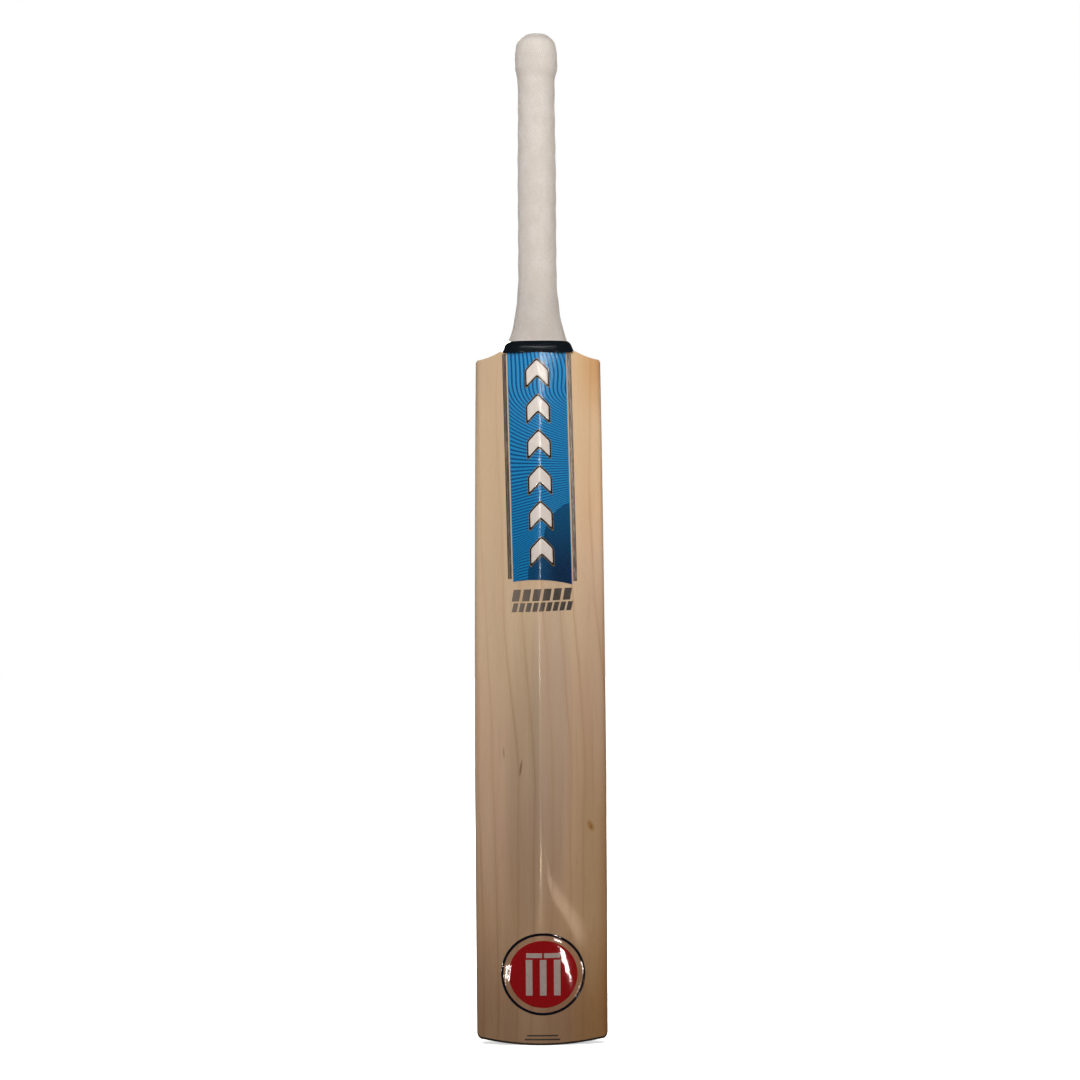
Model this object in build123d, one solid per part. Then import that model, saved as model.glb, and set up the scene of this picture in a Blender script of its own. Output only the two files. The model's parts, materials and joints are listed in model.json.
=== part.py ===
"""A full-size cricket bat: willow blade, spliced cane handle, binding, grip, toe guard and decals.

Everything is first modelled with z = 0 at the lowest point of the toe, z upwards to the end of the
handle, x across the blade and y from the spined back (-y) to the flat hitting face (+y), with the
handle's axis on x = y = 0. The last step lowers it all so that the origin is at the middle of the
hands' grip. Lengths are in millimetres.
"""

from build123d import *
import math
import os

# --- Driving dimensions -------------------------------------------------------------------------
OVERALL_LENGTH = 831.8
GRIP_CENTRE = 693.6  # height of the middle of the hands' grip, where the origin goes
FACE_Y = 18.0  # the flat hitting face, in front of the handle's axis

# Blade: height, half width, edge thickness, depth at the spine, and how far the spine has faded
# from a ridge (0) into a gentle crown (1).
BLADE_STATIONS = [
    (-12.0, 53.9, 17.0, 24.0, 1.0),
    (40.0, 54.0, 22.0, 33.0, 1.0),
    (104.0, 54.0, 28.5, 45.0, 0.6),
    (178.0, 54.0, 33.5, 55.0, 0.15),
    (267.0, 53.7, 34.0, 57.0, 0.0),
    (357.0, 53.2, 30.5, 53.5, 0.0),
    (446.0, 52.6, 25.0, 47.0, 0.05),
    (520.0, 51.9, 20.5, 40.0, 0.4),
    (594.0, 50.8, 17.5, 33.0, 1.0),
]
FACE_TRIM = 0.02  # planed off the lofted body, which leaves the hitting face exactly flat
FRONT_CORNER = 3.5  # radius between the face and each edge
BACK_CORNER = 4.5  # radius between each edge and the back
FLANK_POWER = 1.5  # over 1, so that the flanks are scooped out between spine and edge
CREST_ROUNDING = 0.07  # share of the half width over which the ridge is rounded off
FLANK_SHARES = (0.0, 0.06, 0.14, 0.28, 0.46, 0.66, 0.82)
CORNER_ANGLES = (0.0, 30.0, 60.0)

# Toe
TOE_HALF_WIDTH = 53.9
TOE_ARC_HALF_WIDTH = 48.5
TOE_ARC_RISE = 4.3
TOE_CORNER_HEIGHT = 8.8
TOE_CORNER_BULGE = (1.35, 1.5)  # how far the corner's middle lies in from the edge, and above the arc
TOE_GUARD_THICKNESS = 1.7

# Shoulders, neck and splice
SHOULDER_TIP_X = 50.8
SHOULDER_TIP_Z = 562.0
SHOULDER_Z = 563.5
SHOULDER_X = 49.3
SHOULDER_SWEEP = (39.5, 566.0)  # a point half way along the scooped shoulder
NECK_FOOT_X = 31.0
NECK_FOOT_Z = 569.9
NECK_TOP_Z = 578.4
NECK_STATIONS = [  # height, half width, half depth: it swells out of the blade's back
    (520.0, 14.0, 4.0),
    (544.5, 23.0, 10.0),
    (NECK_FOOT_Z, 27.8, 14.0),
    (NECK_TOP_Z, 23.0, 15.0),
]
NECK_ROUNDNESS = 0.8  # corner radius over half depth
SPLICE_TIP_Z = 411.0
SPLICE_TIP_HALF = 2.5
SPLICE_TOP_HALF = 22.7  # half width of the V at the top of the neck

# Handle core: height, half width, half depth; it is round from HANDLE_ROUND_Z upwards.
HANDLE_ROUND_Z = 633.8
HANDLE_FLARE = [
    (572.4, 21.5, 14.8),
    (NECK_TOP_Z, 21.3, 14.7),
    (588.2, 18.0, 14.2),
    (597.1, 16.0, 13.8),
    (608.0, 14.4, 13.4),
    (619.9, 13.2, 13.05),
]
HANDLE_RADII = [(HANDLE_ROUND_Z, 12.7), (691.0, 12.55), (728.0, 12.5), (756.0, 12.1), (793.2, 12.15)]
KNOB_CORE_RADIUS = 13.4
KNOB_FOOT_Z = 804.8
KNOB_TOP_Z = 814.8
CORE_END_Z = 827.5
CORE_END_CHAMFER = 4.5

# The core is four slabs of cane, front to back, each of three strips, with rubber between the slabs.
SPRING_YS = (-6.3, 0.0, 6.3)
SPRING_THICKNESS = 1.6
STRIP_HALF_WIDTH = 7.5
FAR = 120.0  # beyond every surface, for cutting boxes and prisms

# Binding, grip and neck band
TWINE = 0.9
GRIP_WALL = 2.2
KNOB_GRIP_RADIUS = 17.3
GRIP_END_HOLE = 6.5
GRIP_DOME = [(16.75, 819.4), (15.7, 824.4), (14.1, 827.0), (11.2, 829.5)]
BAND_FOOT_Z = 568.8  # the band laps a little way over the blade's back
BAND_STATIONS = [
    (BAND_FOOT_Z, 30.6, 18.5),
    (570.2, 29.9, 18.5),
    (573.0, 28.4, 18.2),
    (575.4, 27.5, 17.7),
    (576.9, 26.6, 17.2),
    (NECK_TOP_Z, 24.9, 16.4),
]
BAND_CORNER = 14.0

# Decals: places are (x, z) of centres, and angles lean the label's foot to the right.
VINYL = 0.35
PRINT = 0.12
LABEL_CENTRE = (0.7, 474.9)
LABEL_SIZE = (48.2, 190.0)
LABEL_TUCK = 3.0  # how far the label's top runs on before the band cuts it off
LABEL_ANGLE = 1.2
LABEL_FOOT_DROPS = (1.8, 2.8, -1.6)  # left, middle and right of the label's lower edge
STRIPE_WIDTH = 3.0
STRIPE_GAP = 1.1
STRIPE_SPANS = {"left": (-90.7, 93.6), "right": (-93.9, 92.4)}  # from the label's centre
EMBLEM_COUNT = 6
EMBLEM_PITCH = 29.2
EMBLEM_SIZE = (17.4, 21.4)
EMBLEM_ARM = 8.2
EMBLEM_RELIEF = 0.5
EMBLEM_FIRST = 77.0  # height of the first emblem's centre above the label's centre
CAPTION_CENTRE = (2.1, 365.8)
CAPTION_ANGLE = 1.8
CAPTION_ROWS = [(4.8, 9.6, 6), (-5.0, 7.2, 9)]  # height above the caption's centre, size, count
CAPTION_WIDTH = 50.0
CAPTION_SLANT = 2.0
BADGE_CENTRE = (0.9, 59.9)
BADGE_RING_RADIUS = 34.6
BADGE_RING_WIDTH = 2.1
BADGE_DISC_RADIUS = 28.2
BADGE_DOME = 1.1
STUMP_SIZE = (5.4, 30.0)
STUMP_PITCH = 11.5
BAIL_SIZE = (13.0, 4.0)
BAIL_GAP = 1.6
TOE_MARK_HEIGHT = 1.2
TOE_MARKS = [(8.2, 25.4), (4.9, 29.0)]  # height and width of each


# --- Small helpers ------------------------------------------------------------------------------
def upright(face, near=-FAR, far=FAR):
    """A face drawn in x and z, as a prism along y from near to far."""
    return Pos(0, far, 0) * extrude(Plane.XZ * face, far - near)


def closed(*edges):
    """A face inside a loop of edges."""
    return make_face(Curve() + [*edges])


def box(x, y, z):
    """A box from three (low, high) pairs."""
    size = [high - low for low, high in (x, y, z)]
    middle = [(low + high) / 2 for low, high in (x, y, z)]
    return Pos(*middle) * Box(*size)


def polygon(*points):
    return make_face(Polyline(*points, close=True))


# --- Blade --------------------------------------------------------------------------------------
def back_depth(share, edge, spine, crown):
    """How deep the blade is at a share of its half width: 0 on the spine and 1 at the edge."""
    softened = math.hypot(share, CREST_ROUNDING) - CREST_ROUNDING * (1 - share)
    ridge = max(0.0, 1 - softened) ** FLANK_POWER
    dome = 1 - share * share
    return edge + (spine - edge) * ((1 - crown) * ridge + crown * dome)


def back_points(half, edge, spine, crown):
    """The right half of the back's outline as (x, depth), from the spine to the edge."""
    flank = [(share * half, back_depth(share, edge, spine, crown)) for share in FLANK_SHARES]
    corner = []
    for angle in CORNER_ANGLES:
        turn = math.radians(angle)
        x = half - BACK_CORNER * (1 - math.sin(turn))
        drop = BACK_CORNER * (1 - math.cos(turn))
        corner.append((x, back_depth(x / half, edge, spine, crown) - drop))
    return flank + corner + [(half, edge - BACK_CORNER)]


def blade_section(height, half, edge, spine, crown):
    right = back_points(half, edge, spine, crown)
    outline = [(-x, depth) for x, depth in reversed(right)] + right[1:]
    points = [Vector(x, FACE_Y - depth, height) for x, depth in outline]
    steps = [i / (len(points) - 1) for i in range(len(points))]
    pull = 2.2 * (len(points) - 1)  # length of the end tangents, per unit of the spline's parameter
    back = Edge.make_spline(
        points,
        tangents=[Vector(0, -pull, 0), Vector(0, pull, 0)],
        parameters=steps,
        scale=False,
    )
    r = FRONT_CORNER
    slant = r * (1 - math.sqrt(0.5))
    front = FACE_Y + FACE_TRIM
    edges = [back]
    for side in (1, -1):
        foot = Vector(side * half, FACE_Y - edge + BACK_CORNER, height)
        rim = Vector(side * half, front - r, height)
        turn = Vector(side * (half - slant), front - slant, height)
        face_end = Vector(side * (half - r), front, height)
        edges.append(Edge.make_line(foot, rim))
        edges.append(Edge.make_three_point_arc(rim, turn, face_end))
    edges.append(Edge.make_line(Vector(half - r, front, height), Vector(r - half, front, height)))
    return Face(Wire(edges))


def toe_outline(lift):
    """The right half of the toe's outline: the shallow arc, then the corner."""
    corner_x = TOE_HALF_WIDTH - TOE_CORNER_BULGE[0]
    corner_z = TOE_ARC_RISE + TOE_CORNER_BULGE[1]
    shallow_x = TOE_ARC_HALF_WIDTH / 2
    return [
        ThreePointArc(
            (0, lift),
            (shallow_x, TOE_ARC_RISE / 4 + lift),
            (TOE_ARC_HALF_WIDTH, TOE_ARC_RISE + lift),
        ),
        ThreePointArc(
            (TOE_ARC_HALF_WIDTH, TOE_ARC_RISE + lift),
            (corner_x, corner_z + lift),
            (TOE_HALF_WIDTH, TOE_CORNER_HEIGHT + lift),
        ),
        Line((TOE_HALF_WIDTH, TOE_CORNER_HEIGHT + lift), (FAR, TOE_CORNER_HEIGHT + lift)),
    ]


def shoulder_outline():
    """The right shoulder: out of the neck, down the scoop and round the tip."""
    return [
        Line((FAR, SHOULDER_TIP_Z), (SHOULDER_TIP_X, SHOULDER_TIP_Z)),
        ThreePointArc(
            (SHOULDER_TIP_X, SHOULDER_TIP_Z),
            (SHOULDER_TIP_X - 0.45, SHOULDER_Z - 0.4),
            (SHOULDER_X, SHOULDER_Z),
        ),
        ThreePointArc((SHOULDER_X, SHOULDER_Z), SHOULDER_SWEEP, (NECK_FOOT_X, NECK_FOOT_Z)),
        Line((NECK_FOOT_X, NECK_FOOT_Z), (0, NECK_FOOT_Z)),
    ]


def blade_outline(lift):
    """The blade's outline seen from the back, as a face in x and z."""
    right = [
        *toe_outline(lift),
        Line((FAR, TOE_CORNER_HEIGHT + lift), (FAR, SHOULDER_TIP_Z)),
        *shoulder_outline(),
        Line((0, NECK_FOOT_Z), (0, lift)),
    ]
    half = closed(*right)
    return half + half.mirror(Plane.YZ)


def neck_envelope():
    sections = [
        Pos(0, 0, z) * RectangleRounded(2 * half, 2 * depth, NECK_ROUNDNESS * depth)
        for z, half, depth in NECK_STATIONS
    ]
    return loft(sections)


def splice_wedge():
    """The V that is cut into the blade, and that the handle fills."""
    slope = (SPLICE_TOP_HALF - SPLICE_TIP_HALF) / (NECK_TOP_Z - SPLICE_TIP_Z)
    top_z = NECK_TOP_Z + 10
    top_half = SPLICE_TOP_HALF + slope * 10
    face = polygon(
        (-SPLICE_TIP_HALF, SPLICE_TIP_Z),
        (SPLICE_TIP_HALF, SPLICE_TIP_Z),
        (top_half, top_z),
        (-top_half, top_z),
    )
    return upright(face)


# --- Handle -------------------------------------------------------------------------------------
def oval(z, half, depth):
    return Pos(0, 0, z) * (Circle(half) if half == depth else Ellipse(half, depth))


def flare(offset, from_z):
    """The lower, oval part of the handle, grown by an offset all round."""
    stations = [s for s in HANDLE_FLARE if s[0] >= from_z]
    sections = [oval(z, half + offset, depth + offset) for z, half, depth in stations]
    radius = HANDLE_RADII[0][1] + offset
    return loft([*sections, oval(HANDLE_ROUND_Z, radius, radius)])


def handle_side(offset, knob_radius):
    """The profile from where the handle turns round up to the top of the knob's straight."""
    stem = [(radius + offset, z) for z, radius in HANDLE_RADII]
    last = stem[-1]
    return [
        Spline(*stem),
        Spline(last, (knob_radius, KNOB_FOOT_Z), tangents=[(0, 1), (0, 1)]),
        Line((knob_radius, KNOB_FOOT_Z), (knob_radius, KNOB_TOP_Z)),
    ]


def turned(edges):
    """A solid turned about z from a profile in x and z that starts and ends on the axis."""
    return revolve(Plane.XZ * closed(*edges), Axis.Z)


def core_envelope(offset, from_z, end_chamfer):
    """The handle's core grown by an offset: round above the flare, and cut flat at its end."""
    knob = KNOB_CORE_RADIUS + offset
    foot = (HANDLE_RADII[0][1] + offset, HANDLE_ROUND_Z)
    end = CORE_END_Z
    upper = turned(
        [
            Line((0, HANDLE_ROUND_Z), foot),
            *handle_side(offset, knob),
            Line((knob, KNOB_TOP_Z), (knob, end - end_chamfer)),
            Line((knob, end - end_chamfer), (knob - end_chamfer, end)),
            Line((knob - end_chamfer, end), (0, end)),
            Line((0, end), (0, HANDLE_ROUND_Z)),
        ]
    )
    return flare(offset, from_z) + upper


def grip_envelope():
    """The outside of the grip, with its dome over the end of the handle."""
    offset = TWINE + GRIP_WALL
    foot = (HANDLE_RADII[0][1] + offset, HANDLE_ROUND_Z)
    top = (GRIP_END_HOLE, OVERALL_LENGTH)
    upper = turned(
        [
            Line((0, HANDLE_ROUND_Z), foot),
            *handle_side(offset, KNOB_GRIP_RADIUS),
            Spline((KNOB_GRIP_RADIUS, KNOB_TOP_Z), *GRIP_DOME, top, tangents=[(0, 1), (-1, 0)]),
            Line(top, (0, OVERALL_LENGTH)),
            Line((0, OVERALL_LENGTH), (0, HANDLE_ROUND_Z)),
        ]
    )
    return flare(offset, NECK_TOP_Z) + upper


def handle_pieces(core):
    """The core sawn into twelve cane strips and three rubber springs: {name: solid}."""
    pieces = {}
    half = SPRING_THICKNESS / 2
    tall = (SPLICE_TIP_Z - FAR, OVERALL_LENGTH + FAR)
    for name, y in zip(("back", "middle", "face"), SPRING_YS):
        pieces[f"rubber_spring_{name}"] = core & box((-FAR, FAR), (y - half, y + half), tall)
    bounds = [-FAR, *(edge for y in SPRING_YS for edge in (y - half, y + half)), FAR]
    layers = dict(zip(("back", "inner_back", "inner_face", "face"), zip(bounds[::2], bounds[1::2])))
    columns = {
        "left": (-FAR, -STRIP_HALF_WIDTH),
        "centre": (-STRIP_HALF_WIDTH, STRIP_HALF_WIDTH),
        "right": (STRIP_HALF_WIDTH, FAR),
    }
    for layer, y in layers.items():
        for column, x in columns.items():
            pieces[f"cane_{layer}_{column}"] = core & box(x, y, tall)
    return pieces


def neck_band():
    sections = [
        Pos(0, 0, z) * RectangleRounded(2 * half, 2 * depth, BAND_CORNER)
        for z, half, depth in BAND_STATIONS
    ]
    return loft(sections)


# --- Decals -------------------------------------------------------------------------------------
def skin(envelope, face, thickness, lift=0.0):
    """A layer of that thickness over the blade's back, inside a face drawn in x and z."""
    column = upright(face, near=-FAR, far=-2.0)
    outer = Pos(0, -lift - thickness, 0) * envelope
    inner = Pos(0, -lift, 0) * envelope
    return (outer & column) - inner


def on_label(face):
    """Moves a face drawn about the label's own centre into its place on the blade."""
    return Pos(*LABEL_CENTRE) * Rot(0, 0, LABEL_ANGLE) * face


def label_face():
    half, tall = LABEL_SIZE[0] / 2, LABEL_SIZE[1] / 2
    top = tall + LABEL_TUCK
    left, middle, right = (drop - tall for drop in LABEL_FOOT_DROPS)
    return closed(
        Line((half, right), (half, top)),
        Line((half, top), (-half, top)),
        Line((-half, top), (-half, left)),
        ThreePointArc((-half, left), (0, middle), (half, right)),
    )


def stripe_face(name):
    middle = LABEL_SIZE[0] / 2 + STRIPE_GAP + STRIPE_WIDTH / 2
    foot, top = STRIPE_SPANS[name]
    x = -middle if name == "left" else middle
    return Pos(x, (foot + top) / 2) * Rectangle(STRIPE_WIDTH, top - foot)


def chevron_face():
    """An upward chevron about its own centre."""
    half, tall = EMBLEM_SIZE[0] / 2, EMBLEM_SIZE[1] / 2
    rise = 2 * tall - 1.5 * EMBLEM_ARM
    return polygon(
        (0, tall),
        (half, tall - rise),
        (half, -tall),
        (0, rise - tall),
        (-half, -tall),
        (-half, tall - rise),
    )


def emblem_faces():
    for i in range(EMBLEM_COUNT):
        yield Pos(0, EMBLEM_FIRST - i * EMBLEM_PITCH) * chevron_face()


def caption_faces():
    """Two rows of slanted blocks under the label."""
    lean = CAPTION_SLANT / 2
    place = Pos(*CAPTION_CENTRE) * Rot(0, 0, CAPTION_ANGLE)
    for z, height, count in CAPTION_ROWS:
        pitch = CAPTION_WIDTH / count
        half_block, half_tall = pitch * 0.36, height / 2
        for i in range(count):
            x = (i - (count - 1) / 2) * pitch
            yield place * polygon(
                (x - half_block - lean, z - half_tall),
                (x + half_block - lean, z - half_tall),
                (x + half_block + lean, z + half_tall),
                (x - half_block + lean, z + half_tall),
            )


def wicket_faces():
    """Three stumps and two bails about the badge's centre."""
    width, height = STUMP_SIZE
    foot = -(height + BAIL_GAP + BAIL_SIZE[1]) / 2
    for i in (-1, 0, 1):
        yield Pos(i * STUMP_PITCH, foot + height / 2) * Rectangle(width, height)
    for side in (-1, 1):
        bail_z = foot + height + BAIL_GAP + BAIL_SIZE[1] / 2
        yield Pos(side * (BAIL_SIZE[0] / 2 + 0.8), bail_z) * Rectangle(*BAIL_SIZE)


def decals(envelope):
    """Every decal on the blade's back: {name: shape}."""
    badge = Pos(*BADGE_CENTRE)
    ring = Circle(BADGE_RING_RADIUS) - Circle(BADGE_RING_RADIUS - BADGE_RING_WIDTH)
    below_band = box((-FAR, FAR), (-FAR, FAR), (0, BAND_FOOT_Z))
    made = {"label_panel": skin(envelope, on_label(label_face()), VINYL) & below_band}
    for name in STRIPE_SPANS:
        stripe = skin(envelope, on_label(stripe_face(name)), VINYL)
        made[f"label_stripe_{name}"] = stripe & below_band
    emblems = [skin(envelope, on_label(f), EMBLEM_RELIEF, VINYL) for f in emblem_faces()]
    made["label_emblems"] = Compound(children=[solid for e in emblems for solid in e.solids()])
    caption = [skin(envelope, f, PRINT) for f in caption_faces()]
    made["caption_marks"] = Compound(children=[solid for c in caption for solid in c.solids()])
    marks = [
        skin(envelope, Pos(0, z) * Rectangle(width, TOE_MARK_HEIGHT), PRINT)
        for z, width in TOE_MARKS
    ]
    made["toe_marks"] = Compound(children=[solid for m in marks for solid in m.solids()])
    made["badge_ring"] = skin(envelope, badge * ring, PRINT)
    made["badge_disc"] = skin(envelope, badge * Circle(BADGE_DISC_RADIUS), PRINT)
    wicket = [skin(envelope, badge * f, PRINT, PRINT) for f in wicket_faces()]
    made["badge_wicket"] = Compound(children=[solid for w in wicket for solid in w.solids()])
    made["badge_dome"] = skin(envelope, badge * Circle(BADGE_RING_RADIUS), BADGE_DOME, 2 * PRINT)
    return made


# --- Assembly -----------------------------------------------------------------------------------
def main():
    rough = loft([blade_section(*station) for station in BLADE_STATIONS])
    neck = neck_envelope()
    wedge = splice_wedge()
    wood_outline = upright(blade_outline(TOE_GUARD_THICKNESS), far=FACE_Y)
    toe_prism = upright(blade_outline(0.0), far=FACE_Y) - wood_outline
    body = (rough & wood_outline) + neck
    core = (body & wedge) + core_envelope(0.0, HANDLE_FLARE[0][0], CORE_END_CHAMFER)
    twine_outside = core_envelope(TWINE, NECK_TOP_Z, CORE_END_CHAMFER)
    above_neck = box((-FAR, FAR), (-FAR, FAR), (NECK_TOP_Z, OVERALL_LENGTH + FAR))
    end_hole = Pos(0, 0, CORE_END_Z) * extrude(Circle(GRIP_END_HOLE), FAR)

    nodes = {
        "blade": body - wedge,
        "toe_guard": rough & toe_prism,
        **handle_pieces(core),
        "twine_binding": (twine_outside & above_neck) - core,
        "grip": grip_envelope() - twine_outside - end_hole,
        "neck_band": neck_band() - body - core,
        **decals(rough + neck),
    }

    os.makedirs("parts", exist_ok=True)
    to_origin = Pos(0, 0, -GRIP_CENTRE)
    for name, shape in nodes.items():
        solids = [to_origin * solid for solid in shape.solids()]
        piece = solids[0] if len(solids) == 1 else Compound(children=solids)
        export_step(piece, f"parts/{name}.step")
        print(f"{name}: {len(solids)} solids, {sum(s.volume for s in solids) / 1000:.2f} cm3")


main()
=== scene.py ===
"""The looks of the cricket bat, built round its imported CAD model.

The bat's lengths are in millimetres and its heights are measured from the toe, as in the CAD model;
up() and MM turn them into the frame's metres. The camera, the lights and the floor are placed in
metres. +Z runs up the handle, +Y out of the hitting face, and the camera looks along +Y at the
spined back.
"""

import json
import math

import bpy
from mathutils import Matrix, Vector
from mathutils.bvhtree import BVHTree


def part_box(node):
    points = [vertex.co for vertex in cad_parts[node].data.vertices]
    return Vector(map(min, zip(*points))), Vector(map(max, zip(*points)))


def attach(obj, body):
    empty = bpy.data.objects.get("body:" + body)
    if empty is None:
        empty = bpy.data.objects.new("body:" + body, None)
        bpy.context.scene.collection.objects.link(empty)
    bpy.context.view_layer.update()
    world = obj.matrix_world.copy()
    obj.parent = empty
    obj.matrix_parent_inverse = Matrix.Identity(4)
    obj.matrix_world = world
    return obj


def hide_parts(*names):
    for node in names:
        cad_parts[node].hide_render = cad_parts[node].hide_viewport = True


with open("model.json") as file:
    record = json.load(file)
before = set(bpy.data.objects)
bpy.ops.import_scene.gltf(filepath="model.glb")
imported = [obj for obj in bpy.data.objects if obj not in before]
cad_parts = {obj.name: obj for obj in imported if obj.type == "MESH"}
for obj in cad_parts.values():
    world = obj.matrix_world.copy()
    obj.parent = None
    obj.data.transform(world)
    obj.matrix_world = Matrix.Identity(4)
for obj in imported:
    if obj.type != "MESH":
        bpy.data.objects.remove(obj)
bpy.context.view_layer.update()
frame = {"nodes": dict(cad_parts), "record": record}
nodes = frame["nodes"]

MM = 0.001
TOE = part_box("toe_guard")[0][2]  # height of the toe's lowest point in the frame, in metres


def up(height):
    """A height above the toe in millimetres, as the frame's z in metres."""
    return TOE + height * MM


# --- Node graphs --------------------------------------------------------------------------------
def srgb(red, green, blue):
    """A colour from its 0 to 255 display values, as the linear values that shaders use."""
    linear = []
    for value in (red, green, blue):
        c = value / 255
        linear.append(c / 12.92 if c <= 0.04045 else ((c + 0.055) / 1.055) ** 2.4)
    return (*linear, 1.0)


class Graph:
    """A material's nodes. Each method adds one node and returns its output socket."""

    def __init__(self, name):
        self.material = bpy.data.materials.new(name)
        self.material.use_nodes = True
        self.tree = self.material.node_tree
        self.tree.nodes.clear()
        self.output = self.tree.nodes.new("ShaderNodeOutputMaterial")

    def put(self, socket, value):
        if isinstance(value, bpy.types.NodeSocket):
            self.tree.links.new(value, socket)
        else:
            socket.default_value = value

    def add(self, kind, settings=None, **inputs):
        node = self.tree.nodes.new(kind)
        for key, value in (settings or {}).items():
            setattr(node, key, value)
        for key, value in inputs.items():
            self.put(node.inputs[key.replace("_", " ")], value)
        return node

    def math(self, operation, *values, clamp=False):
        node = self.add("ShaderNodeMath", {"operation": operation, "use_clamp": clamp})
        for socket, value in zip(node.inputs, values):
            self.put(socket, value)
        return node.outputs[0]

    def remap(self, value, low, high, to_low=0.0, to_high=1.0, smooth=True):
        """A value between two limits, as a share between two others."""
        kind = "SMOOTHSTEP" if smooth else "LINEAR"
        node = self.add("ShaderNodeMapRange", {"interpolation_type": kind, "clamp": True})
        for socket, number in zip(node.inputs, (value, low, high, to_low, to_high)):
            self.put(socket, number)
        return node.outputs[0]

    def mix(self, share, first, second, blend="MIX"):
        node = self.add("ShaderNodeMix", {"data_type": "RGBA", "blend_type": blend})
        self.put(node.inputs[0], share)
        self.put(node.inputs[6], first)
        self.put(node.inputs[7], second)
        return node.outputs[2]

    def ramp(self, value, stops):
        """Colours along a value, from (place, colour) pairs."""
        node = self.add("ShaderNodeValToRGB", None, Fac=value)
        elements = node.color_ramp.elements
        while len(elements) < len(stops):
            elements.new(0.5)
        for element, (place, colour) in zip(elements, stops):
            element.position = place
            element.color = colour
        return node.outputs[0]

    def place(self):
        """The point being shaded in millimetres, as (vector, x, y, height above the toe)."""
        where = self.add("ShaderNodeTexCoord").outputs["Object"]
        grown = self.add("ShaderNodeVectorMath", {"operation": "MULTIPLY_ADD"})
        self.put(grown.inputs[0], where)
        grown.inputs[1].default_value = (1 / MM, 1 / MM, 1 / MM)
        grown.inputs[2].default_value = (0, 0, -TOE / MM)
        split = self.add("ShaderNodeSeparateXYZ", None, Vector=grown.outputs[0])
        return (grown.outputs[0], *split.outputs)

    def stretched(self, vector, scale):
        node = self.add("ShaderNodeVectorMath", {"operation": "MULTIPLY"})
        self.put(node.inputs[0], vector)
        node.inputs[1].default_value = scale
        return node.outputs[0]

    def combine(self, x, y, z):
        return self.add("ShaderNodeCombineXYZ", None, X=x, Y=y, Z=z).outputs[0]

    def noise(self, vector, detail=2.0, roughness=0.5, distortion=0.0):
        """Noise from 0 to 1 at one feature for each unit of the vector."""
        node = self.add(
            "ShaderNodeTexNoise",
            None,
            Vector=vector,
            Scale=1.0,
            Detail=detail,
            Roughness=roughness,
            Distortion=distortion,
        )
        return node.outputs[0]

    def bump(self, height, distance, strength=1.0, normal=None):
        """A normal from a height from 0 to 1 that stands for that many millimetres."""
        node = self.add("ShaderNodeBump", None, Strength=strength, Distance=distance * MM)
        self.put(node.inputs["Height"], height)
        if normal is not None:
            self.put(node.inputs["Normal"], normal)
        return node.outputs[0]

    def principled(self, **inputs):
        shader = self.add("ShaderNodeBsdfPrincipled", None, **inputs)
        self.tree.links.new(shader.outputs[0], self.output.inputs["Surface"])
        return self.material


# --- Wood ---------------------------------------------------------------------------------------
RING_PITCH = 14.2  # mm between the blade's growth rings
RING_BEND = 11.0  # mm that the rings drift sideways between the toe half and the shoulders
STRIP_HALF_WIDTH = 7.5  # of a strip of cane, out to its glue line

# On the blade's back, places are (x, height) and half sizes are across and along.
# Painted shade: soft patches that darken the back, one left of the spine and one along it.
PAINTED_SHADES = (  # centre, half size, tone
    ((-12.0, 215.0), (19.0, 160.0), srgb(237, 237, 235)),
    ((9.0, 265.0), (20.0, 185.0), srgb(236, 238, 246)),
)
SMALL_MARKS = (  # centre, half size, lean, colour, strength
    ((-16.2, 229.7), (1.2, 8.5), -0.13, srgb(134, 100, 58), 0.7),
    ((40.6, 181.5), (3.2, 5.4), 0.35, srgb(190, 142, 78), 0.7),
    ((41.0, 180.5), (1.2, 2.0), 0.2, srgb(160, 108, 50), 0.6),
    ((-30.0, 241.6), (0.9, 6.0), 0.05, srgb(150, 116, 80), 0.5),
)
TONE_LENGTH = 600.0  # mm of blade that the tones below are shared out over, from the toe
# Partly the willow's own drift and partly painted shade, darker towards the toe.
BLADE_TONE_AND_SHADE = [
    (0.03, srgb(220, 199, 188)),
    (0.06, srgb(225, 204, 194)),
    (0.17, srgb(248, 234, 226)),
    (0.31, srgb(250, 241, 244)),
    (0.58, srgb(254, 254, 255)),
    (0.8, srgb(250, 250, 251)),
]
# Painted light and shade on the right half, lighter or darker height by height.
RIGHT_PAINTED_LIGHT = [
    (0.06, srgb(248, 240, 207)),
    (0.17, srgb(244, 242, 234)),
    (0.31, srgb(226, 223, 206)),
    (0.44, srgb(228, 223, 225)),
    (0.58, srgb(237, 234, 240)),
    (0.66, srgb(246, 244, 250)),
    (0.74, srgb(255, 248, 243)),
    (0.86, srgb(255, 255, 249)),
    (0.93, srgb(246, 238, 222)),
]


def ellipse_mark(g, x, height, centre, half_size, lean=0.0):
    """1 inside a small soft ellipse on the blade's back, 0 outside."""
    across = g.math("SUBTRACT", x, centre[0])
    along = g.math("SUBTRACT", height, centre[1])
    across = g.math("ADD", across, g.math("MULTIPLY", along, lean))
    across = g.math("DIVIDE", across, half_size[0])
    along = g.math("DIVIDE", along, half_size[1])
    square = g.math("ADD", g.math("POWER", across, 2.0), g.math("POWER", along, 2.0))
    return g.remap(square, 1.0, 0.1)


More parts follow.
